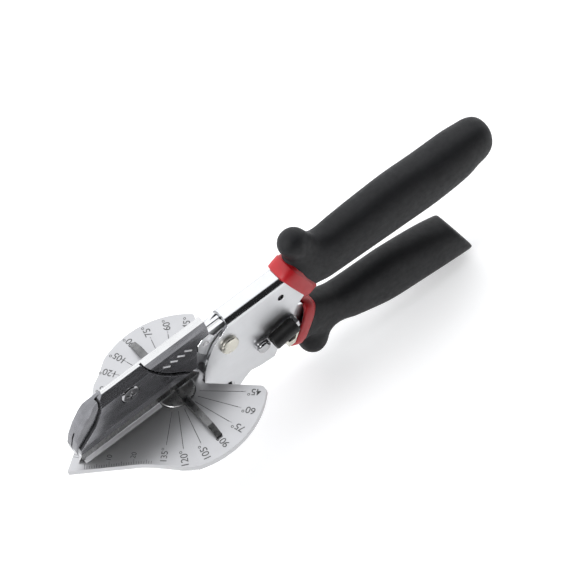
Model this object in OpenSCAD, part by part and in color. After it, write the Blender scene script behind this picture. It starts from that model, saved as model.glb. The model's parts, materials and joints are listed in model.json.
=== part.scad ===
// Multi-angle mitre shear for trunking, beading and edge strip.
// Origin: centre of the turning fence, on the cutting table's top face.
// +X runs back along the blade to the handles, +Z is up, -Y is the side with the lock lever.

/* [Table] */
// Radius of the near wing's curved edge
table_r = 37.4; // [36.6:0.2:39]
// Distance from the fence's centre to the table's tip
nose_len = 54.5; // [53.5:0.5:57]
// Thickness of the table's plate
plate_t = 2.8; // [2.4:0.1:3.2]
// Radius of the fence's disc
disc_r = 8.2; // [7.6:0.1:8.4]
// Depth of the engraved angle lines
line_depth = 0.3; // [0.2:0.05:0.5]

/* [Fence] */
// Reach of each fence arm from the fence's centre
arm_reach = 30; // [26:0.5:33]
// Height of the fence arms above the table
arm_h = 3.5; // [2.5:0.25:5]
// Width of the fence arms
arm_w = 2.8; // [2.4:0.2:3.6]

/* [Jaw] */
// Height of the jaw's top above the table
jaw_top = 31; // [30:0.5:32]
// Height of the jaw's underside above the table
jaw_low = 9; // [8:0.25:9.5]
// Length of the blade's cutting edge
blade_len = 61; // [60:0.5:62]
// Thickness of the blade
blade_t = 0.65; // [0.5:0.05:0.7]

/* [Frames] */
// Width over the upper frame's side plates
frame_w = 10.2; // [9.8:0.1:10.8]
// Sheet thickness of the upper frame
wall = 1.35; // [1.2:0.05:1.4]
// Height of the upper frame's top face
frame_top = 25; // [24.8:0.1:26]
// Radius of the main pivot's shank
pivot_r = 3; // [2.5:0.25:3.5]

/* [Grips] */
// Half the greatest width of the grips
grip_half_w = 9.6; // [9.2:0.1:10]
// Length of the upper red collar
upper_collar_len = 6.2; // [5.6:0.2:6.6]
// Length of the lower red collar
lower_collar_len = 5; // [4.4:0.2:5.4]

/* [Hidden] */
$fn = 48;
gap = 0.35;                          // clearance between bodies that pass each other
fit = 0.05;                          // radial clearance of running fits
in_half = frame_w / 2 - wall;        // half the space inside the upper frame
low_half = in_half - gap;            // half the width over the lower frame
low_wall = 1.2;
tang_half = low_half - low_wall - 0.05;
boss_low = -6;                       // underside of the fence's boss
stem_r = 4.5;
strip_half = 2.5;                    // half the width of the strip under the blade
edge_z = 0.35;                       // height of the blade's edge when the tool is shut
tongue_half = 0.7;                   // half the thickness of the jaw's tongue
blade_h = 19;
blade_x = -48.8;                     // front end of the blade's edge
pin_z = edge_z + 11.5;
pin_step = 21;
pin_mid = blade_x + blade_len / 2;
pivot = [26.2, 12];                  // main pivot, in X and Z
lock = [39.6, -2];                   // lock lever's bolt
screw_at = [-19.4, 24.6];            // jaw's clamp screw
small_hole = [54, 16.1];
handle_dir = -32;                    // direction of the lower frame from the pivot
low_edge = 8.5;                      // lower frame's edges, from its centre line
high_edge = 9.5;
spring_x = 44;
spring_low = 15.2;
spring_r = 2.3;
wire_r = 0.45;
lever_y = -frame_w / 2 - 0.4;        // inner face of the lock lever
lever_t = 1.4;
sleeve_y = -8.95;                    // centre line of the sleeve
upper_tilt = 24;                     // lean of the upper collar
lower_tilt = -32;                    // lean of the lower collar
angles = [45, 60, 75, 90, 105, 120, 135];

// ---------- helpers ----------

// Extrudes an outline drawn in X and Z from y0 to y1
module side(y0, y1) {
    translate([0, y1, 0]) rotate([90, 0, 0]) linear_extrude(y1 - y0) children();
}

// Extrudes an outline drawn in Y and Z from x0 to x1
module along(x0, x1) {
    translate([x0, 0, 0]) rotate([90, 0, 90]) linear_extrude(x1 - x0) children();
}

// Cylinder along Y through p, from y0 to y1
module rod_y(p, r, y0, y1) {
    translate([p.x, y1, p.y]) rotate([90, 0, 0]) cylinder(r = r, h = y1 - y0);
}

module ring(outer, inner, h) {
    difference() {
        cylinder(r = outer, h = h);
        translate([0, 0, -1]) cylinder(r = inner, h = h + 2);
    }
}

function power(v, n) = sign(v) * pow(abs(v), n);

// Rounded-rectangle ring of a grip. s = [x, z, lean, half height, half width, roundness]
function grip_ring(s, sides = 32) = [for (i = [0:sides - 1])
    let (a = 360 * i / sides, up = s[3] * power(sin(a), s[5]), out = s[4] * power(cos(a), s[5]))
    [s[0] - up * sin(s[2]), out, s[1] + up * cos(s[2])]];

// Smooth curve through the stations p, at t between station i and the next
function curve(p, i, t) =
    let (a = p[max(i - 1, 0)], b = p[i], c = p[i + 1], d = p[min(i + 2, len(p) - 1)])
    0.5 * (2 * b + (c - a) * t + (2 * a - 5 * b + 4 * c - d) * t * t
        + (3 * b - a - 3 * c + d) * t * t * t);

// Grip's stations followed by a rounded butt of length cap
function grip_path(p, cap, steps = 4) =
    let (e = p[len(p) - 1])
    concat(
        [for (i = [0:len(p) - 2], k = [0:steps - 1]) curve(p, i, k / steps)],
        [for (k = [0:5]) let (a = 15 * k)
            [e[0] + cap * sin(a) * cos(e[2]), e[1] + cap * sin(a) * sin(e[2]), e[2],
                e[3] * pow(cos(a), 0.6), e[4] * pow(cos(a), 0.6), e[5]]]);

// Closed skin over a list of rings
module skin(rings) {
    n = len(rings[0]);
    last = len(rings) - 1;
    polyhedron(
        points = [for (r = rings) each r],
        faces = concat(
            [[for (i = [0:n - 1]) i]],
            [[for (i = [n - 1:-1:0]) last * n + i]],
            [for (j = [0:last - 1], i = [0:n - 1])
                [j * n + i, (j + 1) * n + i, (j + 1) * n + (i + 1) % n, j * n + (i + 1) % n]]));
}

// Point at distance s along the lower frame from the pivot, and n below its centre line
function handle_point(s, n) = [
    pivot.x + s * cos(handle_dir) + n * sin(handle_dir),
    pivot.y + s * sin(handle_dir) - n * cos(handle_dir)];

// ---------- table ----------

// One wing of the table, with its round edge of radius r about a centre shift along X
module wing(r, shift) {
    polygon([[-nose_len, 0], [-32.4, 16.6], [-30.6, 18], [-27.6, 20.9], [-23.4, 25.6],
        [-19.6 + shift, r - 7.2], [-17 + shift, r - 4.9], [-14.4 + shift, r - 3.1], [0, 0]]);
    intersection() {
        translate([shift, 0]) circle(r = r, $fn = 120);
        union() {
            polygon([[0, 0], [-15.6, 37.2], [-8, 42], [28, 31], [27.2, 25.2], [26.6, 22.4], [10.8, 5.7],
                [10.8, 0]]);
            translate([24.9, 24.1]) circle(r = 2.4);
        }
    }
}

module table_outline() {
    mirror([0, 1]) wing(table_r, 0);
    wing(table_r - 1.6, 1.4);
    translate([0, -in_half]) square([13, 2 * in_half]);
}

module spine_outline() {
    polygon([[8, 0], [13, 0], [17, -2.4], [20, -8], [23.6, -17.6], [13, -17.6], [8.2, -9]]);
}

module base_table() {
    color("gainsboro") difference() {
        union() {
            translate([0, 0, -plate_t]) linear_extrude(plate_t) table_outline();
            translate([0, 0, boss_low]) cylinder(r = 11.5, h = -boss_low - 1);
            side(-in_half + 0.02, in_half - 0.02) spine_outline();
            side(-1.6, 1.6) polygon([[-48, -2], [-10, -2], [-8, -6], [-16, -6], [-44, -4]]);
        }
        translate([0, 0, -2.62]) cylinder(r = disc_r + 0.2, h = 4);
        translate([0, 0, boss_low - 1]) cylinder(r = stem_r + fit, h = 8);
        translate([-46.6, -strip_half - 0.05, -2]) cube([46, 2 * strip_half + 0.1, 3]);
        for (s = [-1, 1], a = angles) rotate([0, 0, s * a]) translate([disc_r + 1.6, -0.15, -line_depth])
            cube([arm_reach - disc_r - 2.6, 0.3, 1]);
        rod_y([14.5, -10], 1.6, -6, 6);
        rod_y([20.5, -14.6], 1.6, -6, 6);
    }
}

module anvil_strip() {
    color("silver") difference() {
        translate([-46.5, -strip_half, -1.95]) cube([37.7, 2 * strip_half, 2.35]);
        translate([-50, -0.66, -0.5]) cube([50, 1.32, 2]);
    }
}

// ---------- upper frame ----------

module upper_outline() {
    polygon([[29, frame_top + 1], [28.1, 22.4], [23.1, 19], [19.7, 16.6], [16.2, 12], [12.8, 5.2],
        [11.1, -0.6], [10.7, -8], [13.2, -18.4], [25.8, -18.4], [28.7, -16.2], [32.1, -14.7],
        [36.6, -16.1], [43.9, -17], [60.3, 4.3], [64.6, 7.3], [72, 10.6], [84, 9.4], [142, 8.6],
        [142, 20], [84, 22], [70, 23.5], [65, frame_top + 1]]);
}

module channel_section() {
    bend = 3.8;
    inner = bend - wall;
    half = frame_w / 2;
    difference() {
        union() {
            translate([-half, -30]) square([2 * half, frame_top - bend + 30]);
            translate([-half + bend, 0]) square([2 * (half - bend), frame_top]);
            for (s = [-1, 1]) translate([s * (half - bend), frame_top - bend]) circle(r = bend);
        }
        translate([-in_half, -31]) square([2 * in_half, frame_top - wall - inner + 31]);
        translate([-in_half + inner, 0]) square([2 * (in_half - inner), frame_top - wall]);
        for (s = [-1, 1]) translate([s * (in_half - inner), frame_top - bend]) circle(r = inner);
    }
}

module upper_frame() {
    color("lightsteelblue") difference() {
        intersection() {
            side(-6, 6) upper_outline();
            along(5, 150) channel_section();
        }
        rod_y(pivot, pivot_r + 0.02, -8, 8);
        rod_y(small_hole, 1.5, -8, 8);
        rod_y(lock, 2.02, -8, 0);
        rod_y([14.5, -10], 1.6, -8, 8);
        rod_y([20.5, -14.6], 1.6, -8, 8);
    }
}

module rivet(p, r, head_r, head_h, half) {
    rod_y(p, r, -half, half);
    for (s = [-1, 1]) translate([p.x, s * half, p.y]) rotate([-90 * s, 0, 0])
        cylinder(r1 = head_r, r2 = head_r * 0.72, h = head_h);
}

module base_rivets() {
    color("silver") {
        rivet([14.5, -10], 1.55, 2.8, 0.9, frame_w / 2 + 0.01);
        rivet([20.5, -14.6], 1.55, 2.8, 0.9, frame_w / 2 + 0.01);
    }
}

module pivot_pin() {
    half = frame_w / 2;
    color("wheat") {
        rod_y(pivot, pivot_r, -half - 1, half + 3.4);
        translate([pivot.x, -half - 0.01, pivot.y]) rotate([90, 0, 0]) rotate_extrude()
            polygon([[0, 0], [4.2, 0], [4.2, 1.3], [3.8, 1.8], [2.6, 2], [0, 2.05]]);
    }
}

module pivot_washer() {
    color("silver") difference() {
        rod_y(pivot, 4.8, frame_w / 2 + 0.02, frame_w / 2 + 0.8);
        rod_y(pivot, pivot_r + 0.1, 0, 9);
    }
}

module pivot_nut() {
    color("silver") difference() {
        translate([pivot.x, frame_w / 2 + 3.2, pivot.y]) rotate([90, 0, 0])
            cylinder(r = 4.6, h = 2.35, $fn = 6);
        rod_y(pivot, pivot_r + 0.05, 0, 12);
    }
}

// ---------- lock ----------

module lock_bolt() {
    head_y = lever_y - lever_t - 0.45;
    color("silver") {
        rod_y(lock, 2, head_y - 0.2, -in_half + 0.05);
        translate([lock.x, head_y, lock.y]) rotate([90, 0, 0]) rotate_extrude()
            polygon([[0, 0], [3, 0], [3, 1.1], [2.3, 1.7], [0, 1.8]]);
    }
}

module lock_spacer() {
    color("silver") difference() {
        rod_y(lock, 3.1, -frame_w / 2 - 0.4, -frame_w / 2 - 0.02);
        rod_y(lock, 2.05, -9, 0);
    }
}

// Hub on the bolt, a step outwards, a rod inside the sleeve, and a hooked tip that points down
module lock_lever() {
    arm_y = [lever_y - lever_t, lever_y];
    rod_side = [sleeve_y - 1.1, sleeve_y + 1.1];
    color("silver") difference() {
        union() {
            rod_y(lock, 3.2, arm_y[0], arm_y[1]);
            side(arm_y[0], arm_y[1]) polygon([[40, -5], [45.4, -3.6], [45.4, 0.4], [40, 1]]);
            side(rod_side[0], lever_y - 0.2) polygon([[44, -3.2], [45.4, -3.2], [45.4, 0], [44, 0]]);
            side(rod_side[0], rod_side[1]) lever_rod_outline(0);
            side(rod_side[0], lever_y - 0.2)
                polygon([[55.4, -1.6], [55.4, 1.4], [56.6, 1.7], [56.6, -1.6]]);
            side(arm_y[0], arm_y[1]) polygon([[55.4, 1.4], [56.8, 1.6], [57.4, -0.6], [57, -5],
                [55.3, -10.2], [53.4, -10.2], [54.2, -5.4], [55.4, -2.2]]);
        }
        rod_y(lock, 2 + fit, -12, 0);
    }
}

// Outline of the rod that runs through the sleeve, grown by extra
module lever_rod_outline(extra) {
    polygon([[44, -2.9 - extra], [44, 0.1 + extra], [56.6, 1.8 + extra], [56.6, -1.2 - extra]]);
}

module lock_washer() {
    color("silver") difference() {
        rod_y(lock, 3.2, lever_y - lever_t - 0.4, lever_y - lever_t - 0.05);
        rod_y(lock, 2 + fit, -12, 0);
    }
}

module lock_sleeve() {
    color("dimgray") difference() {
        translate([43.3, sleeve_y, -1.7]) rotate([0, 90 - 8, 0]) rotate_extrude()
            polygon([[0, 0], [3.2, 0], [3.5, 0.5], [3.5, 11.4], [3.2, 12], [0, 12]]);
        side(sleeve_y - 1.15, sleeve_y + 1.15) lever_rod_outline(0.05);
        side(sleeve_y - 1.15, 0) polygon([[40, -3.3], [45.45, -3.3], [45.45, 0.1], [40, 0.1]]);
        side(lever_y - lever_t - 0.05, 0) polygon([[40, -5.3], [45.45, -3.7], [45.45, 0.6], [40, 1.3]]);
    }
}

// Hook on the lower frame. The lever's tip drops in front of it and keeps the handles shut
module lock_catch() {
    color("wheat") side(lever_y - lever_t, -low_half - 0.02)
        polygon([[51.3, -12.6], [54.6, -12.9], [55.8, -10.4], [57, -10.4], [53.9, -15.5], [50.6, -15.5]]);
}

// ---------- fence ----------

// Straight arm with a pointed inner end, raised just clear of the table, and a sloped outer end
module fence_arm() {
    root = 1.4;
    ramp = 5.3;
    half = arm_w / 2;
    disc_edge = disc_r - 0.5;
    intersection() {
        translate([0, 0, -1]) linear_extrude(arm_h + 1) polygon([[0, -root], [half, -root - half],
            [half, -arm_reach], [-half, -arm_reach], [-half, -root - half]]);
        along(-half, half) polygon([[0, -0.2], [-disc_edge, -0.2], [-disc_edge, gap],
            [-arm_reach, gap], [-arm_reach, 1.1], [ramp - arm_reach, arm_h], [0, arm_h]]);
    }
}

module fence_bar() {
    color("lightgray") difference() {
        union() {
            translate([0, 0, -2.55]) cylinder(r = disc_r - 0.3, h = 2.2, $fn = 96);
            translate([0, 0, -0.36]) cylinder(r1 = disc_r - 0.3, r2 = disc_r - 0.6, h = 0.36, $fn = 96);
            translate([0, 0, boss_low - 0.15]) cylinder(r = stem_r, h = -boss_low - 1);
            for (s = [0, 180]) rotate([0, 0, s]) fence_arm();
        }
        translate([0, 0, boss_low - 1]) cylinder(r = 2.05, h = 5.6);
    }
}

module fence_washer() {
    color("silver") translate([0, 0, boss_low - 1.1]) ring(7, 2.3, 0.7);
}

module fence_screw() {
    color("silver") difference() {
        union() {
            translate([0, 0, boss_low - 1.2]) cylinder(r = 2, h = 5.4);
            translate([0, 0, boss_low - 3.4]) cylinder(r1 = 3.2, r2 = 4, h = 2.2);
        }
        translate([0, 0, boss_low - 4]) cylinder(r = 1.8, h = 1.9, $fn = 6);
    }
}

// ---------- blade arm ----------

module lower_cheek() {
    translate(pivot) circle(r = 9);
    polygon([[13.3, 17.5], [14, 21.2], [16.6, 23.2], [20.4, 23.6], [22.4, 20.4], [26.2, 12], [26.2, 3],
        [19.4, 6.4]]);
    polygon([handle_point(0, -high_edge), handle_point(43, -high_edge), [72, -9.4], [84, -15.2],
        [136, -30.6], [134, -37], [84, -22.6], [68, -19.8], handle_point(41, low_edge),
        handle_point(0, low_edge)]);
}

module lower_frame() {
    color("silver") difference() {
        union() {
            for (s = [-1, 1]) side(s * (low_half - low_wall / 2) - low_wall / 2,
                s * (low_half - low_wall / 2) + low_wall / 2) lower_cheek();
            side(-low_half + 0.1, low_half - 0.1) polygon([handle_point(18, low_edge),
                handle_point(41, low_edge), [68, -19.8], [84, -22.6], [84, -21.3], [68.3, -18.5],
                handle_point(41, low_edge - 1.4), handle_point(18, low_edge - 1.4)]);
        }
        rod_y(pivot, pivot_r + fit, -8, 8);
        rod_y([17.6, 19.6], 1.25, -8, 8);
        rod_y([20.6, 8], 1.25, -8, 8);
    }
}

// Two chromed plates between the jaw and the pivot
module jaw_tang() {
    inner = tongue_half + 0.05;
    middle = (inner + tang_half) / 2;
    half_t = (tang_half - inner) / 2;
    color("silver") for (s = [-1, 1]) difference() {
        side(s * middle - half_t, s * middle + half_t)
            union() {
                translate(pivot) circle(r = 8.6);
                polygon([[12.4, 9.6], [13.4, 17.5], [14.2, 21.2], [16.6, 23], [28.3, 23], [33, 17],
                    [24, 3.6]]);
            }
        rod_y(pivot, pivot_r + fit, -8, 8);
        rod_y([17.6, 19.6], 1.25, -8, 8);
        rod_y([20.6, 8], 1.25, -8, 8);
    }
}

module jaw_side() {
    polygon([[-28.7, jaw_top], [-34.9, 29.8], [-39.4, 26.6], [-43.4, 22.4], [-46.8, 17.4],
        [-48.6, 12.8], [-48.6, jaw_low], [11.6, jaw_low], [13, 17.6], [13.7, 21.4], [16.4, 23.5],
        [20.4, 23.9], [20.4, jaw_top]]);
}

module jaw_rear() {
    polygon([[-9.7, jaw_top + 1], [-8.2, 29], [-6.1, 25.2], [-2.9, 20.4], [1.2, 16], [5.4, 12.4],
        [8.4, jaw_low - 1], [30, 0], [30, 40]]);
}

module jaw_nose() {
    polygon([[-30, jaw_top + 1], [-32, 31.2], [-34.1, 26.2], [-37.9, 21.1], [-43.4, 16.4],
        [-47.4, 13.2], [-48.6, jaw_low], [-60, jaw_low], [-60, 40]]);
}

module jaw_section() {
    polygon([[3, 5], [3, jaw_top - 2.6], [1.5, jaw_top], [-2, jaw_top], [-3.3, jaw_top - 2.8],
        [-3.3, 5]]);
}

module jaw_body() {
    color("dimgray") difference() {
        union() {
            intersection() {
                along(-60, 30) jaw_section();
                union() {
                    side(0.3, 4) jaw_side();
                    side(-4, 0.31) intersection() { jaw_side(); union() { jaw_rear(); jaw_nose(); } }
                }
            }
            side(-tongue_half, tongue_half) {
                translate(pivot) circle(r = 8.6);
                polygon([[11, 10], [24, 3.6], [30, 19], [28, 22.6], [16, 22.6], [12, 18]]);
            }
        }
        // slot for the blade
        translate([-60, -blade_t / 2 - 0.05, -5]) cube([73, blade_t + 0.1, edge_z + blade_h + 5.2]);
        for (s = [-1, 1]) rod_y([pin_mid + s * pin_step / 2, pin_z], 2.05, -1, 2.4);
        rod_y(screw_at, 2.05, -1, 2.4);
        rod_y(pivot, pivot_r + fit, -8, 8);
        rod_y([17.6, 19.6], 1.25, -8, 8);
        rod_y([20.6, 8], 1.25, -8, 8);
        // row of four slanted grip marks
        for (i = [0:3]) translate([-1 + 3.6 * i, -3.2, 22.9]) rotate([0, 40, 0])
            cube([4.4, 0.6, 1], center = true);
    }
}

module jaw_cover() {
    color("slategray") difference() {
        intersection() {
            side(-4.6, -0.4) polygon([[-29.3, jaw_top + 1.2], [-31.2, 31], [-33.4, 26],
                [-37.2, 20.7], [-42.8, 16], [-46.8, 12.8], [-47.4, jaw_low], [7.4, jaw_low],
                [4.6, 12], [0.6, 15.5], [-3.5, 20], [-6.7, 24.9], [-8.9, 29], [-10.4, jaw_top + 1.2]]);
            along(-60, 20) polygon([[0, 5], [0, 40], [-0.5, jaw_top + 1.2], [-1.5, jaw_top + 1.2],
                [-4.6, jaw_top - 2.4], [-4.6, 14], [-3.7, jaw_low], [-3.7, 5]]);
        }
        for (s = [-1, 1]) rod_y([pin_mid + s * pin_step / 2, pin_z], 2.2, -2.6, 1);
        rod_y(screw_at, 2.1, -6, 1);
        rod_y(screw_at, 4.3, -6, -3.2);
    }
}

module blade() {
    back = edge_z + blade_h;
    color("whitesmoke") difference() {
        side(-blade_t / 2, blade_t / 2) polygon([[blade_x, edge_z], [blade_x + blade_len, edge_z],
            [blade_x + blade_len - 14, back], [blade_x + 14, back]]);
        for (s = [-1, 1]) {
            rod_y([pin_mid + s * pin_step / 2, pin_z], 2.25, -1, 1);
            rod_y([pin_mid + s * 3.5, back - 1.5], 1.6, -1, 1);
        }
        // two-sided hollow along the cutting edge
        for (s = [-1, 1]) translate([0, s * (blade_t / 2 + 0.02), edge_z - 0.01]) rotate([s * 9, 0, 0])
            translate([-60, s > 0 ? 0 : -1, -1]) cube([90, 1, 2.4]);
    }
}

module blade_pins() {
    color("silver") for (s = [-1, 1]) rod_y([pin_mid + s * pin_step / 2, pin_z], 2, -2.4, 2.3);
}

module clamp_screw() {
    color("silver") difference() {
        union() {
            rod_y(screw_at, 2, -3.5, 2.3);
            translate([screw_at.x, -3.3, screw_at.y]) rotate([90, 0, 0]) rotate_extrude()
                polygon([[0, 0], [4.1, 0], [4.1, 1.2], [3.5, 1.8], [0, 2]]);
        }
        for (a = [0, 90]) translate([screw_at.x, -5.3, screw_at.y]) rotate([0, a + 20, 0])
            cube([4.4, 1.6, 0.9], center = true);
    }
}

module jaw_rivets() {
    color("silver") {
        rod_y([17.6, 19.6], 1.2, -low_half, low_half);
        rod_y([20.6, 8], 1.2, -low_half, low_half);
    }
}

module spring_seat() {
    color("silver") difference() {
        translate([spring_x - 3.4, -low_half, spring_low - 1.3]) cube([6.8, 2 * low_half, 1.2]);
        translate([spring_x, 0, 0]) cylinder(r = 1.2, h = 30);
    }
    color("silver") for (s = [-1, 1]) side(s * (tang_half - 0.65) - 0.6, s * (tang_half - 0.65) + 0.6)
        polygon([[spring_x - 3.4, 5], [spring_x + 3.4, 2], [spring_x + 3.4, spring_low - 1],
            [spring_x - 3.4, spring_low - 1]]);
}

// Coil spring between the seat and the upper frame
module return_spring() {
    turns = 5.5;
    steps = 14;
    corner_drop = 0.6;               // the frame's rounded inside corners reach down this far
    end_part = 0.12;                 // part of the height at each end that is wound closer
    end_pitch = 0.35;
    top = frame_top - wall - wire_r - corner_drop;
    middle_pitch = (1 - 2 * end_part * end_pitch) / (1 - 2 * end_part);
    rise = top - spring_low - wire_r;
    function ease(t) = t < end_part ? end_pitch * t
        : t > 1 - end_part ? 1 - end_pitch * (1 - t)
        : end_pitch * end_part + (t - end_part) * middle_pitch;
    count = round(turns * steps);
    color("silver") skin([for (k = [0:count]) let (t = k / count, a = 360 * turns * t,
            c = [spring_x, 0, spring_low + wire_r + rise * ease(t)])
        [for (j = [0:7]) let (b = 45 * j, r = spring_r + wire_r * cos(b))
            c + [r * cos(a), r * sin(a), -wire_r * sin(b)]]]);
}

// ---------- grips ----------

upper_stations = [
    [66.9, 17.4, upper_tilt, 11.4, 6.7, 0.62],
    [75.2, 17.3, 12, 12.7, 7.4, 0.72],
    [88, 17.1, 2, 12.9, grip_half_w - 1.3, 0.84],
    [100, 17.1, 0, 13.4, grip_half_w - 0.8, 0.86],
    [118, 16.8, 0, 14, grip_half_w - 0.3, 0.88],
    [134, 15.9, 0, 13.5, grip_half_w, 0.88],
    [150, 16.2, 0, 12.6, grip_half_w - 0.1, 0.88],
    [157.6, 17, 0, 11, grip_half_w - 0.9, 0.88]
];
lower_stations = [
    [62.2, -12.3, lower_tilt, 11.3, 6.7, 0.62],
    [72, -16, -27, 9.5, 6.9, 0.7],
    [80, -19.4, -22, 9.9, 7.3, 0.75],
    [97, -23.8, -13, 12.9, grip_half_w - 1.4, 0.84],
    [108, -26.1, -12, 14, grip_half_w - 0.9, 0.86],
    [128, -29.5, -12, 12.6, grip_half_w - 0.5, 0.84],
    [144, -33.2, -12, 10.8, grip_half_w - 0.8, 0.82],
    [150, -34.4, -12, 10.4, grip_half_w - 1.1, 0.82]
];
butt = [146, -35];                   // middle of the lower grip's slanted end
butt_tilt = 22.6;

// Collar: the grip's first ring, made a little bigger and pushed forward by its length
module collar_shape(s, grow, length) {
    forward = [cos(s[2]), 0, sin(s[2])];
    big = [s[0], s[1], s[2], s[3] + grow, s[4] + grow, s[5]];
    skin([for (k = [-length, -0.05]) [for (p = grip_ring(big)) p + k * forward]]);
}

// Clears everything in front of a grip's first ring, between its top and bottom
module front_cut(s) {
    translate([s[0], 0, s[1]]) rotate([0, -s[2], 0])
        translate([-12, -12, -s[3] - 0.8]) cube([12, 24, 2 * s[3] + 1.6]);
}

// Space that the upper frame takes inside the collar and the grip
module upper_tang_space() {
    side(-frame_w / 2 - 0.05, frame_w / 2 + 0.05) polygon([[40, -20], [60.3, 3.9], [64.6, 7.1],
        [72, 10.4], [84, 9.2], [142.2, 8.4], [142.2, 20.2], [84, 22.2], [70.2, 23.8],
        [65.4, frame_top + 1], [65, frame_top + 0.05], [40, frame_top + 0.05]]);
}

module upper_collar() {
    color("crimson") difference() {
        collar_shape(upper_stations[0], 0.6, upper_collar_len);
        upper_tang_space();
    }
}

module upper_grip() {
    color([0.2, 0.2, 0.21]) difference() {
        union() {
            skin([for (s = grip_path(upper_stations, 11)) grip_ring(s)]);
            hull() {
                translate([68.8, 0, 35.2]) sphere(r = 7, $fn = 32);
                translate([79, 0, 22]) sphere(r = 7, $fn = 32);
                translate([72, 0, 22]) sphere(r = 7, $fn = 32);
            }
        }
        front_cut(upper_stations[0]);
        upper_tang_space();
    }
}

module lower_collar() {
    color("crimson") difference() {
        collar_shape(lower_stations[0], 0.6, lower_collar_len);
        side(-low_half - 0.05, low_half + 0.05) lower_tang_space();
    }
}

module lower_tang_space() {
    polygon([handle_point(20, -high_edge - 0.1), handle_point(43.1, -high_edge - 0.1),
        [72.2, -9.2], [84, -15], [136.4, -30.4], [134.2, -37.3], [84, -22.8], [67.8, -20],
        handle_point(40.9, low_edge + 0.1), handle_point(20, low_edge + 0.1)]);
}

module lower_grip() {
    color([0.2, 0.2, 0.21]) difference() {
        union() {
            skin([for (s = grip_path(lower_stations, 3)) grip_ring(s)]);
            hull() {
                translate([66.3, 0, -31.2]) sphere(r = 7.2, $fn = 32);
                translate([76, 0, -22]) sphere(r = 6.8, $fn = 32);
                translate([67, 0, -21]) sphere(r = 6.6, $fn = 32);
            }
        }
        translate([butt.x, 0, butt.y]) rotate([0, -butt_tilt, 0])
            translate([0, -15, -30]) cube([30, 30, 60]);
        front_cut(lower_stations[0]);
        side(-low_half - 0.05, low_half + 0.05) lower_tang_space();
    }
}

base_table();
anvil_strip();
upper_frame();
base_rivets();
pivot_pin();
pivot_washer();
pivot_nut();
lock_bolt();
lock_spacer();
upper_collar();
upper_grip();
fence_bar();
fence_washer();
fence_screw();
lower_frame();
jaw_tang();
jaw_body();
jaw_cover();
blade();
blade_pins();
clamp_screw();
jaw_rivets();
lock_catch();
return_spring();
spring_seat();
lower_collar();
lower_grip();
lock_lever();
lock_sleeve();
lock_washer();
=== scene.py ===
import json
import math

import bmesh
import bpy
import numpy as np
from mathutils import Matrix, Vector


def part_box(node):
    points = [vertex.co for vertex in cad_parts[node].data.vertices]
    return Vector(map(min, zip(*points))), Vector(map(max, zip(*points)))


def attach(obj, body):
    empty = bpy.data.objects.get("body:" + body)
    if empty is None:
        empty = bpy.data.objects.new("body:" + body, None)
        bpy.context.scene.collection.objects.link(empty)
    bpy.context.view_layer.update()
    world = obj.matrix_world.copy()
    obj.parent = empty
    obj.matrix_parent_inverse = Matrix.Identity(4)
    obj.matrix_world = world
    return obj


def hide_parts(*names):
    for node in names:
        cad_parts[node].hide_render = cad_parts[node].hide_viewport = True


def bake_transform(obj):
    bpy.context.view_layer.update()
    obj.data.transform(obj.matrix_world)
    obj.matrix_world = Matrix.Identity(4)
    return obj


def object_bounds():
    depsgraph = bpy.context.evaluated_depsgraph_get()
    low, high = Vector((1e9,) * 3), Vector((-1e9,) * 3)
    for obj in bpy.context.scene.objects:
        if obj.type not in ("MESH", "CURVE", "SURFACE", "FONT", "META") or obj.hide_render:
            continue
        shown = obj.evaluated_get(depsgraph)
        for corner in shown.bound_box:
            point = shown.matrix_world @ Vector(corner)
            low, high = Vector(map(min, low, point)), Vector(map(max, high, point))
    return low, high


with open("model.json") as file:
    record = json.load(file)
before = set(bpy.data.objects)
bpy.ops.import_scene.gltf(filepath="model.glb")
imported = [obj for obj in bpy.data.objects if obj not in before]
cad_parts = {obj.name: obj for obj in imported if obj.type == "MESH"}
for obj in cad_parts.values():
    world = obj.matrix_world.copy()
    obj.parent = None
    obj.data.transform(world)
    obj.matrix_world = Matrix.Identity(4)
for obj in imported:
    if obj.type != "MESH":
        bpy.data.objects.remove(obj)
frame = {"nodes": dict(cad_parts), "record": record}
cad_box = [list(corner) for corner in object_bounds()]

MM = 0.001


# ---------- materials ----------

# sizes of the patterns on metal, in millimetres
CLOUD = 9
STREAK = 1.6
SCRATCH = 0.5
ALONG_SHEET = (8, 1, 1)        # the frame's streaks run along X
ALONG_STRIP = (12, 1, 1)
# also sets the size of the painted highlight in the fence disc's middle
DISC_RADIUS = 9
LATHE_RINGS = 700              # scale of the wave that makes the fence's lathe marks


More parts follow.
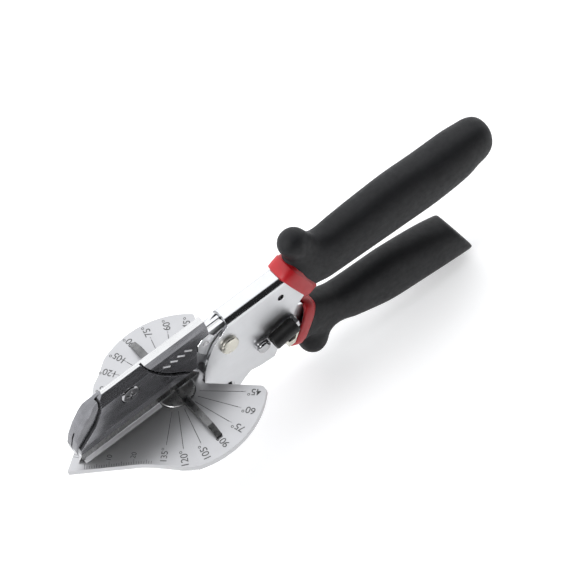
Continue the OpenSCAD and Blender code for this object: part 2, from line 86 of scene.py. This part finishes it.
class Shader:
    """A material whose colour, gloss and relief come from procedural textures in metres."""

    def __init__(self, name, metallic, specular=0.5, anisotropic=0.0):
        self.material = bpy.data.materials.new(name)
        self.material.use_nodes = True
        self.tree = self.material.node_tree
        self.bsdf = self.tree.nodes["Principled BSDF"]
        self.bsdf.inputs["Metallic"].default_value = metallic
        self.bsdf.inputs["Specular IOR Level"].default_value = specular
        self.bsdf.inputs["Anisotropic"].default_value = anisotropic
        self.coords = self.tree.nodes.new("ShaderNodeTexCoord").outputs["Object"]
        self.normal = None

    def node(self, kind):
        return self.tree.nodes.new("ShaderNode" + kind)

    def link(self, source, target):
        self.tree.links.new(source, target)

    def maths(self, operation, *values):
        """Result of a Math node on one or two values."""
        node = self.node("Math")
        node.operation = operation
        for value, socket in zip(values, node.inputs):
            self.link(value, socket)
        return node.outputs["Value"]

    def noise(self, size, stretch=(1, 1, 1), detail=3.0, offset=0.0):
        """Noise with features of about size, in millimetres, stretched along the axes."""
        mapping = self.node("Mapping")
        mapping.inputs["Scale"].default_value = [1 / (size * MM * s) for s in stretch]
        mapping.inputs["Location"].default_value = (offset, offset * 0.7, offset * 0.3)
        self.link(self.coords, mapping.inputs["Vector"])
        texture = self.node("TexNoise")
        texture.inputs["Scale"].default_value = 1.0
        texture.inputs["Detail"].default_value = detail
        self.link(mapping.outputs["Vector"], texture.inputs["Vector"])
        return texture.outputs["Fac"]

    def cells(self, size):
        """Small rounded cells of about size, in millimetres."""
        texture = self.node("TexVoronoi")
        texture.inputs["Scale"].default_value = 1 / (size * MM)
        self.link(self.coords, texture.inputs["Vector"])
        return texture.outputs["Distance"]

    def between(self, value, low, high, start=0.3, end=0.7):
        """Maps value from start..end to low..high, and holds it there outside them."""
        node = self.node("MapRange")
        node.inputs["From Min"].default_value = start
        node.inputs["From Max"].default_value = end
        node.inputs["To Min"].default_value = low
        node.inputs["To Max"].default_value = high
        self.link(value, node.inputs["Value"])
        return node.outputs["Result"]

    def add(self, one, two):
        return self.maths("ADD", one, two)

    def facing(self, axis):
        """How squarely a face looks along an axis, either way: 1 when it is flat on."""
        parts = self.node("SeparateXYZ")
        self.link(self.node("TexCoord").outputs["Normal"], parts.inputs["Vector"])
        return self.maths("ABSOLUTE", parts.outputs[axis])

    def colour(self, value, stops):
        """Base colour along a ramp. stops are (place, colour)."""
        ramp = self.node("ValToRGB")
        elements = ramp.color_ramp.elements
        while len(elements) < len(stops):
            elements.new(0.5)
        for element, (place, colour) in zip(elements, stops):
            element.position = place
            element.color = (*colour, 1)
        self.link(value, ramp.inputs["Fac"])
        self.link(ramp.outputs["Color"], self.bsdf.inputs["Base Color"])

    def mottle(self, cloud, dark, light, start=0.3, end=0.7):
        """Base colour from dark to light as the cloud goes from start to end."""
        self.colour(cloud, [(start, dark), (end, light)])

    def roughness(self, value, low, high):
        self.link(self.between(value, low, high), self.bsdf.inputs["Roughness"])

    def bump(self, value, depth):
        """Relief of depth, in millimetres, on top of any relief already there."""
        node = self.node("Bump")
        node.inputs["Distance"].default_value = depth * MM
        node.inputs["Strength"].default_value = 1.0
        self.link(value, node.inputs["Height"])
        if self.normal:
            self.link(self.normal, node.inputs["Normal"])
        self.normal = node.outputs["Normal"]
        self.link(self.normal, self.bsdf.inputs["Normal"])

    def polish(self, waves, scratches, grain=(1, 1, 1), size=6):
        """Slow waves of about size and fine scratches along the grain, both by their depth."""
        self.bump(self.noise(size, detail=2, offset=9), waves)
        self.bump(self.noise(SCRATCH, stretch=grain, detail=4, offset=2), scratches)


def shade(tone, tint=(1, 1, 1)):
    """Colour of a brightness and a tint."""
    return tuple(tone * t for t in tint)


def plated(name, tone, gloss, tint=(1, 1, 1.02), grain=(1, 1, 1), ripple=0.004, spread=0.08,
           metallic=1.0, wear=0.25):
    """Plated or polished metal: faint streaks, smudges and a slightly wavy surface.

    tone is the colour's brightness and spread how much it varies, gloss the roughness and wear how
    much that varies, and ripple the depth of the scratches in millimetres.
    """
    s = Shader(name, metallic)
    dark, light = shade(tone * (1 - spread), tint), shade(tone * (1 + spread), tint)
    s.mottle(s.noise(CLOUD, detail=4), dark, light, 0.25, 0.75)
    streaks = s.noise(STREAK, stretch=grain, detail=6, offset=4)
    s.roughness(streaks, gloss * (1 - wear), gloss * (1 + wear))
    s.polish(ripple * 6, ripple, grain)
    return s.material


def pressed_chrome():
    """Chromed sheet: satin on the flat sides, and brighter on the top and the bend."""
    s = Shader("frame_chrome", 1.0)
    tint = (1, 1.01, 1.03)
    s.mottle(s.noise(CLOUD, detail=4), shade(0.6, tint), shade(0.64, tint), 0.25, 0.75)
    satin = s.between(s.facing("Y"), 0, 0.24, 0.9, 0.99)
    streaks = s.between(s.noise(STREAK, stretch=ALONG_SHEET, detail=6, offset=4), 0.13, 0.2)
    s.link(s.add(satin, streaks), s.bsdf.inputs["Roughness"])
    s.polish(0.006, 0.0008, ALONG_SHEET)
    return s.material


def turned_metal():
    """Lathe-turned face of the fence: concentric marks, a stretched highlight, and a painted
    highlight that lightens the colour in the disc's middle.
    """
    s = Shader("turned_metal", 1.0, anisotropic=0.85)
    middle = s.node("Mapping")
    middle.inputs["Scale"].default_value = [1 / (DISC_RADIUS * MM)] * 3
    s.link(s.coords, middle.inputs["Vector"])
    round_centre = s.node("TexGradient")
    round_centre.gradient_type = "SPHERICAL"
    s.link(middle.outputs["Vector"], round_centre.inputs["Vector"])
    # painted highlight: the colour is lighter within about 7 mm of the disc's centre and darker
    # from there out
    painted_centre_highlight = s.between(round_centre.outputs["Fac"], 0, 0.7, 0.05, 0.2)
    s.colour(s.add(painted_centre_highlight, s.between(s.noise(3, detail=4), 0, 0.3)),
             [(0, shade(0.13)), (0.3, shade(0.19)), (0.7, shade(0.42)), (1, shade(0.52))])
    s.roughness(s.noise(1.5, detail=5), 0.24, 0.36)
    rings = s.node("TexWave")
    rings.wave_type = "RINGS"
    rings.rings_direction = "Z"
    rings.inputs["Scale"].default_value = LATHE_RINGS
    rings.inputs["Distortion"].default_value = 0.6
    s.link(s.coords, rings.inputs["Vector"])
    s.bump(rings.outputs["Fac"], 0.006)
    tangent = s.node("Tangent")
    tangent.direction_type = "RADIAL"
    tangent.axis = "Z"
    s.link(tangent.outputs["Tangent"], s.bsdf.inputs["Tangent"])
    return s.material


def ground_steel():
    """Blade steel with grinding lines across the edge."""
    s = Shader("ground_steel", 1.0)
    lines = s.noise(0.35, stretch=(1, 1, 40), detail=3)
    s.mottle(lines, shade(0.42), shade(0.62))
    s.roughness(lines, 0.2, 0.38)
    s.bump(lines, 0.006)
    return s.material


def moulded(name, dark, light, rough, grain_size, grain_depth, specular=0.5):
    """Moulded plastic or rubber with a fine pebbled grain and slight mottling."""
    s = Shader(name, 0.0, specular=specular)
    s.mottle(s.noise(7, detail=5), dark, light)
    s.roughness(s.noise(2.2, detail=5, offset=3), rough * 0.88, rough * 1.1)
    s.bump(s.noise(14, detail=3, offset=6), grain_depth * 5)
    s.bump(s.cells(grain_size), grain_depth)
    s.bump(s.noise(grain_size * 0.6, detail=4, offset=8), grain_depth * 0.7)
    return s.material


def engraving():
    """Dark filling of the engraved lines and figures."""
    s = Shader("engraving", 0.0)
    s.mottle(s.noise(1.2, detail=4), shade(0.05), shade(0.13))
    s.roughness(s.noise(0.6), 0.5, 0.75)
    s.bump(s.noise(0.3), 0.01)
    return s.material


def black_nickel():
    """Dark plated castings of the jaw: glossy, cloudy, with a painted highlight lightening the flat
    top and underside.
    """
    s = Shader("black_nickel", 0.75)
    cool = (1, 1, 1.06)
    # painted highlight: faces lying flat to Z, top and underside, get a much lighter colour
    # standing in for the sky's reflection on the top
    painted_flat_sheen = s.between(s.facing("Z"), 0, 0.7, 0.985, 0.998)
    s.colour(s.add(painted_flat_sheen, s.between(s.noise(5, stretch=(3, 1, 1), detail=6), 0, 0.3)),
             [(0, shade(0.16, cool)), (0.3, shade(0.25, cool)),
              (0.7, shade(0.56)), (1, shade(0.64))])
    s.roughness(s.noise(1.4, stretch=(10, 1, 2), detail=6, offset=4), 0.17, 0.3)
    s.polish(0.05, 0.003, ALONG_STRIP, size=7)
    return s.material


GRIP_TINT = (1, 1.04, 1.2)
LOOKS = {
    "table_metal": plated("satin_chrome", 0.47, 0.32, ripple=0.0003, spread=0.03, metallic=0.85,
                          wear=0.05),
    "bright_steel": plated("bright_steel", 0.9, 0.42, grain=ALONG_STRIP, ripple=0.001,
                           metallic=0.1),
    "frame_chrome": pressed_chrome(),
    "fastener_steel": plated("fastener_steel", 0.55, 0.2),
    "pale_brass": plated("pale_brass", 0.62, 0.3, tint=(1, 0.97, 0.86), ripple=0.003),
    "gunmetal": black_nickel(),
    "dark_screw": plated("dark_screw", 0.4, 0.2),
    "spring_steel": plated("spring_steel", 0.42, 0.28, ripple=0.006),
    "fence_metal": turned_metal(),
    "blade_steel": ground_steel(),
    "red_collar": moulded("red_collar", (0.42, 0.005, 0.01), (0.5, 0.008, 0.015),
                          rough=0.42, grain_size=0.9, grain_depth=0.002),
    "black_grip": moulded("black_grip", shade(0.0065, GRIP_TINT), shade(0.0095, GRIP_TINT),
                          rough=0.6, grain_size=0.42, grain_depth=0.03, specular=0.3),
    "sleeve_rubber": moulded("sleeve_rubber", shade(0.007), shade(0.011),
                             rough=0.5, grain_size=0.6, grain_depth=0.012, specular=0.4),
}
ENGRAVING = engraving()


# ---------- mesh helpers, in millimetres ----------

def power(value, n):
    """Power of a value's size, with the value's sign."""
    return math.copysign(abs(value) ** n, value)


def circle(count):
    """Angles of count points round a circle."""
    return [2 * math.pi * i / count for i in range(count)]


def direction(degrees):
    """Unit vector in the XZ plane, turned up from +X."""
    return Vector((math.cos(math.radians(degrees)), 0, math.sin(math.radians(degrees))))


def section(station, sides=48, grow=0.0):
    """Ring of a grip. station is (x, z, lean, half height, half width, roundness)."""
    x, z, lean, tall, wide, roundness = station
    lean = math.radians(lean)
    ring = []
    for a in circle(sides):
        up = (tall + grow) * power(math.sin(a), roundness)
        out = (wide + grow) * power(math.cos(a), roundness)
        ring.append(Vector((x - up * math.sin(lean), out, z + up * math.cos(lean))))
    return ring


def curve_point(stations, i, t):
    """Smooth curve through the stations, at t between station i and the next."""
    a, b = stations[max(i - 1, 0)], stations[i]
    c, d = stations[i + 1], stations[min(i + 2, len(stations) - 1)]
    return tuple(0.5 * (2 * q + (r - p) * t + (2 * p - 5 * q + 4 * r - s) * t * t
                        + (3 * q - p - 3 * r + s) * t ** 3) for p, q, r, s in zip(a, b, c, d))


def along_grip(stations, cap, steps=10, cap_steps=8):
    """All stations of a grip, with a rounded butt of length cap."""
    path = [curve_point(stations, i, k / steps)
            for i in range(len(stations) - 1) for k in range(steps)]
    x, z, lean, tall, wide, roundness = stations[-1]
    ahead = direction(lean)
    for k in range(cap_steps + 1):
        a = CAP_SWEEP * k / cap_steps
        shrink = math.cos(a) ** CAP_FULLNESS
        reach = cap * math.sin(a)
        path.append((x + reach * ahead.x, z + reach * ahead.z,
                     lean, tall * shrink, wide * shrink, roundness))
    return path


def add_rings(bm, rings, closed=True):
    """Skins a list of rings, capping both ends if closed."""
    loops = [[bm.verts.new(p) for p in ring] for ring in rings]
    n = len(loops[0])
    for one, two in zip(loops, loops[1:]):
        for i in range(n):
            bm.faces.new((one[i], one[(i + 1) % n], two[(i + 1) % n], two[i]))
    if closed:
        bm.faces.new(list(reversed(loops[0])))
        bm.faces.new(loops[-1])


def add_ball(bm, centre, radii, lean):
    """Ellipsoid, leaning in the XZ plane."""
    place = Matrix.Translation(centre) @ Matrix.Rotation(math.radians(-lean), 4, "Y")
    size = Matrix.Diagonal((*radii, 1))
    bmesh.ops.create_icosphere(bm, subdivisions=4, radius=1, matrix=place @ size)


def add_object(name, data):
    obj = bpy.data.objects.new(name, data)
    bpy.context.scene.collection.objects.link(obj)
    return obj


def piece(name, bm, look, body=None, replaced=None, material=None, smooth=True):
    """Makes a piece from a bmesh, riding on a body, with the material of its slot or its own."""
    bmesh.ops.scale(bm, vec=(MM, MM, MM), verts=bm.verts)
    bmesh.ops.recalc_face_normals(bm, faces=bm.faces)
    mesh = bpy.data.meshes.new(name)
    bm.to_mesh(mesh)
    bm.free()
    mesh.polygons.foreach_set("use_smooth", [smooth] * len(mesh.polygons))
    obj = add_object(name, mesh)
    mesh.materials.append(material or LOOKS[look])
    if body:
        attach(obj, body)
    if replaced:
        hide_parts(replaced)
    return obj


def even_normals(obj, weight):
    """Shades flat faces flat, by weighting the normals by face area."""
    normals = obj.modifiers.new("even_normals", "WEIGHTED_NORMAL")
    normals.mode = "FACE_AREA"
    normals.weight = weight
    normals.keep_sharp = True


def fused(bm):
    """One skin round the overlapping shells of a bmesh, as a new bmesh."""
    mesh = bpy.data.meshes.new("fusing")
    bm.to_mesh(mesh)
    bm.free()
    obj = add_object("fusing", mesh)
    remesh = obj.modifiers.new("remesh", "REMESH")
    remesh.mode = "VOXEL"
    remesh.voxel_size = VOXEL
    shape = obj.evaluated_get(bpy.context.evaluated_depsgraph_get()).to_mesh()
    skin = bmesh.new()
    skin.from_mesh(shape)
    bpy.data.objects.remove(obj)
    return skin


def relax(bm, weight_at, rounds):
    """Smooths a bmesh. weight_at gives how freely the points move, from 0 to 1."""
    points = np.array([v.co[:] for v in bm.verts])
    edges = np.array([[v.index for v in e.verts] for e in bm.edges])
    a, b = edges[:, 0], edges[:, 1]
    n = len(points)
    neighbours = np.bincount(edges.ravel(), minlength=n)[:, None]
    weight = 0.5 * np.clip(weight_at(points), 0, 1)[:, None]
    for _ in range(rounds):
        total = np.stack([np.bincount(a, points[b, k], n) + np.bincount(b, points[a, k], n)
                          for k in range(3)], axis=1)
        points += weight * (total / neighbours - points)
    for vert, point in zip(bm.verts, points):
        vert.co = point


def near(centre, reach):
    """Weight for relax that falls from 1 round a centre in X and Z to 0 at reach."""
    def weight_at(points):
        distance = np.hypot(points[:, 0] - centre[0], points[:, 2] - centre[1])
        return 1.6 * (1 - distance / reach)
    return weight_at


def slice_off(bm, point, outward):
    """Cuts away everything beyond a plane and closes the cut."""
    cut = bmesh.ops.bisect_plane(bm, geom=bm.verts[:] + bm.edges[:] + bm.faces[:],
                                 plane_co=point, plane_no=outward, clear_outer=True)
    rim = [e for e in cut["geom_cut"] if isinstance(e, bmesh.types.BMEdge)]
    bmesh.ops.contextual_create(bm, geom=rim)


# ---------- grips and collars ----------

# stations from the collar to the butt: x, z, lean in degrees, half height, half width, roundness
UPPER = [
    (66.9, 17.4, 24, 11.4, 6.7, 0.62),
    (75.2, 17.3, 12, 12.7, 7.4, 0.72),
    (88, 17.1, 2, 12.9, 8.3, 0.84),
    (100, 17.1, 0, 13.4, 8.8, 0.86),
    (118, 16.8, 0, 14, 9.3, 0.88),
    (134, 15.9, 0, 13.5, 9.6, 0.88),
    (150, 16.2, 0, 12.6, 9.5, 0.88),
    (157.6, 17, 0, 11, 8.7, 0.88),
]
LOWER = [
    (62.2, -12.3, -32, 11.3, 6.7, 0.62),
    (72, -16, -27, 9.5, 6.9, 0.7),
    (80, -19.4, -22, 9.9, 7.3, 0.75),
    (97, -23.8, -13, 12.9, 8.2, 0.84),
    (108, -26.1, -12, 14, 8.7, 0.86),
    (128, -29.5, -12, 12.6, 9.1, 0.84),
    (144, -33.2, -12, 10.8, 8.8, 0.82),
    (150, -34.4, -12, 10.4, 8.5, 0.82),
]
BUTT = Vector((146, 0, -35))   # middle of the lower grip's slanted end
BUTT_TILT = 22.6
CAP_SWEEP = math.radians(88)   # the rounded butt stops just short of a point
CAP_FULLNESS = 0.55
VOXEL = 0.7
LEAD = 4                       # the loft starts this far ahead of the collar and is cut back
COLLAR_GAP = 0.1


def grip(name, stations, cap, guards, fillet, body, node, butt=None):
    """One moulded grip: a lofted handle fused with its guard, cut flat where the collar starts.

    guards are ellipsoids (centre, radii, lean). fillet is the centre and reach of the smoothing
    where the guard meets the handle. butt is the point and direction of a slanted end.
    """
    x, z, lean, *size = stations[0]
    ahead = direction(lean)
    lead = (x - LEAD * ahead.x, z - LEAD * ahead.z, lean, *size)
    bm = bmesh.new()
    add_rings(bm, [section(s) for s in along_grip([lead] + stations, cap)])
    for guard in guards:
        add_ball(bm, *guard)
    bm = fused(bm)
    if butt:
        slice_off(bm, *butt)
        bmesh.ops.triangulate(bm, faces=[f for f in bm.faces if len(f.verts) > 4])
        bm = fused(bm)
    relax(bm, lambda points: np.ones(len(points)), 8)
    relax(bm, near(*fillet), 160)
    slice_off(bm, Vector((x, 0, z)) + COLLAR_GAP * ahead, -ahead)
    piece(name, bm, "black_grip", body, node)


def collar(name, station, length, body, node):
    """Band round the front of a grip, open in the middle, with a lip inside the grip."""
    back = direction(station[2])
    proud, wall, edge = 0.6, 1.3, 0.45
    corner = 0.13                  # depth of the rounded edge's middle point
    swell = 0.06
    lip, lip_drop = 1.2, 0.3
    # (step along the grip, growth from the band's surface), round the wall
    profile = [(-length, -wall), (-length, -edge), (-length + corner, -corner), (-length + edge, 0),
               (-length / 2, swell), (-edge, 0), (-corner, -corner), (0, -edge),
               (lip, -edge - lip_drop), (lip, -wall)]
    rings = [[p + step * back for p in section(station, 64, proud + grow)]
             for step, grow in profile]
    bm = bmesh.new()
    add_rings(bm, rings + [rings[0]], closed=False)
    bmesh.ops.remove_doubles(bm, verts=bm.verts, dist=1e-5)
    piece(name, bm, "red_collar", body, node)


grip("upper_grip_skin", UPPER, 10.5,
     [((68.6, 0, 35), (7.5, 7.2, 7.4), 0), ((72, 0, 27), (8, 7.2, 9), 20)],
     ((74, 30), 15), "frame", "upper_grip")
grip("lower_grip_skin", LOWER, 3,
     [((66.3, 0, -31), (7.6, 7, 7.8), 0), ((71, 0, -23), (8, 6.8, 8), 0)],
     ((72, -26), 13), "blade_arm", "lower_grip", butt=(BUTT, direction(BUTT_TILT)))
collar("upper_collar_band", UPPER[0], 6.2, "frame", "upper_collar")
collar("lower_collar_band", LOWER[0], 5, "blade_arm", "lower_collar")


# ---------- engraved scales ----------

TABLE_LOW, TABLE_HIGH = (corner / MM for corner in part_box("base_table"))
TABLE_TOP = TABLE_HIGH.z
TIP_X = TABLE_LOW.x
INK = 0.03                     # the figures stand this far proud of the table
LINE_TOP = 0.01                # and the lines this far
LINE_DEPTH = 0.25
FIGURE = 4.3                   # size of the angle figures
SMALL_FIGURE = 3.8             # and of those in the narrow corner at 135 degrees
RULER_FIGURE = 3
FIGURE_WEIGHT = 0.02           # outward offset of the figures' outline
FIGURE_SPACING = 0.96
ANGLES = (45, 60, 75, 90, 105, 120, 135)
LINE_FROM = 10.0               # the angle lines start at this radius
LINE_WIDTH = 0.26
LABEL_AT = 32.4
LABEL_HALF = 4.8               # a line ends this far inside the middle of its figures
# near half of the table's front edge, from the tip to the waist, and the ruler's start along it
FRONT_EDGE = [(TIP_X, 0), (-32.4, 16.6), (-30.6, 18), (-27.6, 20.9), (-23.4, 25.6)]
RULER_START = 6.9
RULER_LENGTH = 27
RULER_MARGIN = 0.35
RULER_LABEL = 4.4              # from the edge to the middle of the figures
MARK_WIDTH = 0.2


def add_bar(bm, start, end, width):
    """Thin flat bar from start to end on the table."""
    start, end = Vector((*start, 0)), Vector((*end, 0))
    aside = (end - start).normalized().cross(Vector((0, 0, 1))) * width / 2
    low, high = Vector((0, 0, TABLE_TOP - LINE_DEPTH)), Vector((0, 0, TABLE_TOP + LINE_TOP))
    corners = [start - aside, end - aside, end + aside, start + aside]
    add_rings(bm, [[c + low for c in corners], [c + high for c in corners]])


def add_text(bm, text, place, turn, size):
    """Figures lying on the table, centred on place, reading along turn."""
    font = bpy.data.curves.new("figures", "FONT")
    font.body = text
    font.size = size
    font.align_x = "CENTER"
    font.align_y = "CENTER"
    font.extrude = INK / 2
    font.offset = FIGURE_WEIGHT
    font.space_character = FIGURE_SPACING
    obj = bpy.data.objects.new("figures", font)
    mesh = bpy.data.meshes.new_from_object(obj)
    on_table = Matrix.Translation((*place, TABLE_TOP + INK / 2))
    mesh.transform(on_table @ Matrix.Rotation(turn, 4, "Z"))
    bm.from_mesh(mesh)
    bpy.data.objects.remove(obj)
    bpy.data.meshes.remove(mesh)


def edge_point(distance):
    """Point on the near front edge at a distance from the tip, and the direction into the table."""
    for (x0, y0), (x1, y1) in zip(FRONT_EDGE, FRONT_EDGE[1:]):
        run = math.hypot(x1 - x0, y1 - y0)
        if distance <= run or (x1, y1) == FRONT_EDGE[-1]:
            t = distance / run
            inward = Vector((y1 - y0, -(x1 - x0))) / run
            return Vector((x0 + t * (x1 - x0), y0 + t * (y1 - y0))), inward
        distance -= run


def label_place(side, angle):
    """Radius and size of an angle's figures, which are nearer in where the table narrows."""
    if angle == 135:
        return 30, SMALL_FIGURE
    if side > 0 and angle > 90:
        return 30.6, FIGURE
    return LABEL_AT, FIGURE


def add_angle_scale(bm):
    """Lines and figures of the angles, on both sides of the blade."""
    for side in (-1, 1):
        for angle in ANGLES:
            off = math.radians(90 - angle)
            out = Vector((math.sin(off), side * math.cos(off)))
            radius, size = label_place(side, angle)
            add_bar(bm, LINE_FROM * out, (radius - LABEL_HALF) * out, LINE_WIDTH)
            turn = math.atan2(side * out.y, side * out.x)
            add_text(bm, f"{angle}°", radius * out, turn, size)


def add_ruler(bm):
    """Millimetre marks along both front edges, with figures at the tens."""
    for side in (-1, 1):
        for mark in range(RULER_LENGTH + 1):
            point, inward = edge_point(RULER_START + mark)
            length = 2.3 if mark % 10 == 0 else 1.8 if mark % 5 == 0 else 1.2
            flip = Vector((1, side))
            start = (point + RULER_MARGIN * inward) * flip
            end = (point + (RULER_MARGIN + length) * inward) * flip
            add_bar(bm, start, end, MARK_WIDTH)
            if mark % 10 == 0:
                place = (point + RULER_LABEL * inward) * flip
                turn = math.atan2(-side * inward.x, -inward.y)
                add_text(bm, str(mark), place, turn, RULER_FIGURE)


marks = bmesh.new()
add_angle_scale(marks)
add_ruler(marks)
piece("table_scale", marks, "gunmetal", "frame", material=ENGRAVING, smooth=False)


# ---------- grip marks on the jaw ----------

def grip_marks():
    """Four bright slanted bars in the recesses on the jaw's near side."""
    first, pitch, height = -1, 3.6, 22.9
    half_length, half_width = 1.9, 0.4
    across, up = direction(-40), direction(50)
    rings_at = ((-3.05, 0), (-3.38, 0), (-3.5, 0.12))   # y, and how far the ring is trimmed there
    bm = bmesh.new()
    for i in range(4):
        centre = Vector((first + pitch * i, 0, height))
        add_rings(bm, [[centre + Vector((0, y, 0)) + u * (half_length - trim) * across
                        + w * (half_width - trim) * up
                        for u, w in ((-1, -1), (1, -1), (1, 1), (-1, 1))] for y, trim in rings_at])
    piece("jaw_grip_marks", bm, "bright_steel", "blade_arm", smooth=False)


grip_marks()


# ---------- return spring ----------

def spring():
    """Coil spring from its seat on the lower frame to the upper frame, in the CAD spring's place.
    """
    low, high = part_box("return_spring")
    centre = (low + high) / (2 * MM)
    wire, wire_sides = 0.45, 12
    radius = (high.x - low.x) / (2 * MM) - wire
    bottom, top = low.z / MM + wire, high.z / MM - wire
    turns, per_turn = 5.5, 28
    closing = 0.06                 # how much closer the coils lie at both ends
    count = round(turns * per_turn)
    up = Vector((0, 0, 1))
    rings = []
    for k in range(count + 1):
        t = k / count
        rise = t - closing * math.sin(2 * math.pi * t)
        a = 2 * math.pi * turns * t
        heading = Vector((math.cos(a), math.sin(a), 0))
        middle = Vector((centre.x, centre.y, bottom + (top - bottom) * rise)) + radius * heading
        rings.append([middle + wire * (math.cos(b) * heading + math.sin(b) * up)
                      for b in circle(wire_sides)])
    bm = bmesh.new()
    add_rings(bm, rings)
    obj = piece("return_coil", bm, "spring_steel", replaced="return_spring")
    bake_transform(obj)


spring()


# ---------- domed head of the lever's bolt ----------

def bolt():
    """Shank and smooth domed head, in the place of the CAD bolt."""
    low, high = (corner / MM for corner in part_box("lock_bolt"))
    x, z = (low.x + high.x) / 2, (low.z + high.z) / 2
    radius, shank = (high.x - low.x) / 2, 2
    dome = 1.3
    seat = low.y + 1.8             # the head's underside
    # (radius, y) from the shank's far end, round the head and up the dome
    profile = [(0, high.y), (shank, high.y), (shank, seat), (radius, seat), (radius, low.y + dome)]
    profile += [(radius * math.cos(a), low.y + dome * (1 - math.sin(a)))
                for a in (math.radians(d) for d in range(15, 90, 15))]
    profile += [(0, low.y)]
    bm = bmesh.new()
    add_rings(bm, [[Vector((x + r * math.cos(t), y, z + r * math.sin(t))) for t in circle(40)]
                   for r, y in profile], closed=False)
    bmesh.ops.remove_doubles(bm, verts=bm.verts, dist=1e-4)
    bmesh.ops.dissolve_degenerate(bm, edges=bm.edges, dist=1e-5)
    even_normals(piece("lock_bolt_dome", bm, "dark_screw", "frame", "lock_bolt"), 50)


bolt()


# ---------- CAD pieces: looks and softened edges ----------

# width of each softened edge, in millimetres
EDGE = {"base_table": 0.12, "upper_frame": 0.22, "lower_frame": 0.2, "jaw_body": 0.35,
        "jaw_cover": 0.3, "blade": 0.03, "anvil_strip": 0.12, "fence_bar": 0.22,
        "lock_lever": 0.25, "lock_catch": 0.2, "spring_seat": 0.1, "pivot_pin": 0.12,
        "clamp_screw": 0.12}
WELD = 0.002 * MM
FLAT = math.radians(0.5)       # faces this close in angle are joined, so the bevel stays clean
SHARP = math.radians(32)       # and edges sharper than this are softened


def finish_node(name, obj, look):
    """Gives a CAD node its look, and softens its edges if EDGE names it."""
    for holder in obj.material_slots:
        holder.material = LOOKS[look]
    weld = obj.modifiers.new("weld", "WELD")
    weld.merge_threshold = WELD
    if name in EDGE:
        flat = obj.modifiers.new("flat_faces", "DECIMATE")
        flat.decimate_type = "DISSOLVE"
        flat.angle_limit = FLAT
        bevel = obj.modifiers.new("soft_edges", "BEVEL")
        bevel.width = EDGE[name] * MM
        bevel.segments = 2
        bevel.limit_method = "ANGLE"
        bevel.angle_limit = SHARP
        bevel.use_clamp_overlap = True
    even_normals(obj, 80)


slots = {s["node"]: s["material_slot"] for s in frame["record"]["subparts"]}
for name, obj in frame["nodes"].items():
    finish_node(name, obj, slots[name])


# ---------- stage, light and camera ----------

AIM = Vector((0.0588, 0, 0.013))
DISTANCE = 0.8663
AZIMUTH, ELEVATION, ROLL = -25.08, 54.67, -15.97
LENS = 133.9
FLOOR_HALF = 4
FLOOR_GAP = 0.004
PATTERN_SIZE = 180             # of the floor's faint mottling, in millimetres


def toward(azimuth, elevation):
    """Unit vector to a place round the object. Azimuth is 0 in front, on -Y, and turns to +X."""
    a, e = math.radians(azimuth), math.radians(elevation)
    return Vector((math.sin(a) * math.cos(e), -math.cos(a) * math.cos(e), math.sin(e)))


def floor():
    """Plain pale floor just below the object."""
    s = Shader("pale_floor", 0.0)
    s.mottle(s.noise(PATTERN_SIZE, detail=2), shade(0.9), shade(0.93))
    s.roughness(s.noise(PATTERN_SIZE / 3), 0.75, 0.9)
    s.bsdf.inputs["Emission Color"].default_value = (1, 1, 1, 1)
    s.bsdf.inputs["Emission Strength"].default_value = 0.3
    mesh = bpy.data.meshes.new("floor")
    w = FLOOR_HALF
    mesh.from_pydata([(-w, -w, 0), (w, -w, 0), (w, w, 0), (-w, w, 0)], [], [(0, 1, 2, 3)])
    mesh.materials.append(s.material)
    obj = add_object("floor", mesh)
    obj.location = (AIM.x, 0, cad_box[0][2] - FLOOR_GAP)


def studio(strength, dark):
    """Soft light all round, from a bright back half to a dark front, where Y is low."""
    world = bpy.data.worlds.new("studio")
    bpy.context.scene.world = world
    world.use_nodes = True
    tree = world.node_tree
    background = tree.nodes["Background"]
    background.inputs["Strength"].default_value = strength
    coords = tree.nodes.new("ShaderNodeTexCoord")
    parts = tree.nodes.new("ShaderNodeSeparateXYZ")
    ramp = tree.nodes.new("ShaderNodeValToRGB")
    spread = tree.nodes.new("ShaderNodeMapRange")
    spread.inputs["From Min"].default_value = -1
    tree.links.new(coords.outputs["Generated"], parts.inputs["Vector"])
    tree.links.new(parts.outputs["Y"], spread.inputs["Value"])
    tree.links.new(spread.outputs["Result"], ramp.inputs["Fac"])
    tree.links.new(ramp.outputs["Color"], background.inputs["Color"])
    stops = ramp.color_ramp.elements
    stops[0].position, stops[0].color = 0.375, (dark, dark, dark * 1.05, 1)
    stops[1].position, stops[1].color = 0.45, (0.97, 0.98, 1, 1)


def softbox(name, azimuth, elevation, distance, size, watts):
    """Soft rectangular light that looks at the object from an azimuth and elevation."""
    outward = toward(azimuth, elevation)
    light = bpy.data.lights.new(name, "AREA")
    light.shape = "RECTANGLE"
    light.size, light.size_y = size
    light.energy = watts
    obj = add_object(name, light)
    obj.location = AIM + outward * distance
    obj.rotation_euler = (-outward).to_track_quat("-Z", "Y").to_euler()


floor()
studio(strength=1.65, dark=0.014)
softbox("side_fill", -75, 35, distance=1.3, size=(0.35, 0.5), watts=5)

camera = add_object("camera", bpy.data.cameras.new("camera"))
back = toward(AZIMUTH, ELEVATION)
camera.location = AIM + back * DISTANCE
upright = (-back).to_track_quat("-Z", "Y").to_matrix().to_4x4()
camera.rotation_euler = (upright @ Matrix.Rotation(math.radians(ROLL), 4, "Z")).to_euler()
camera.data.lens = LENS
camera.data.clip_start = 0.05
bpy.context.scene.camera = camera
bpy.context.scene.view_settings.view_transform = "Standard"
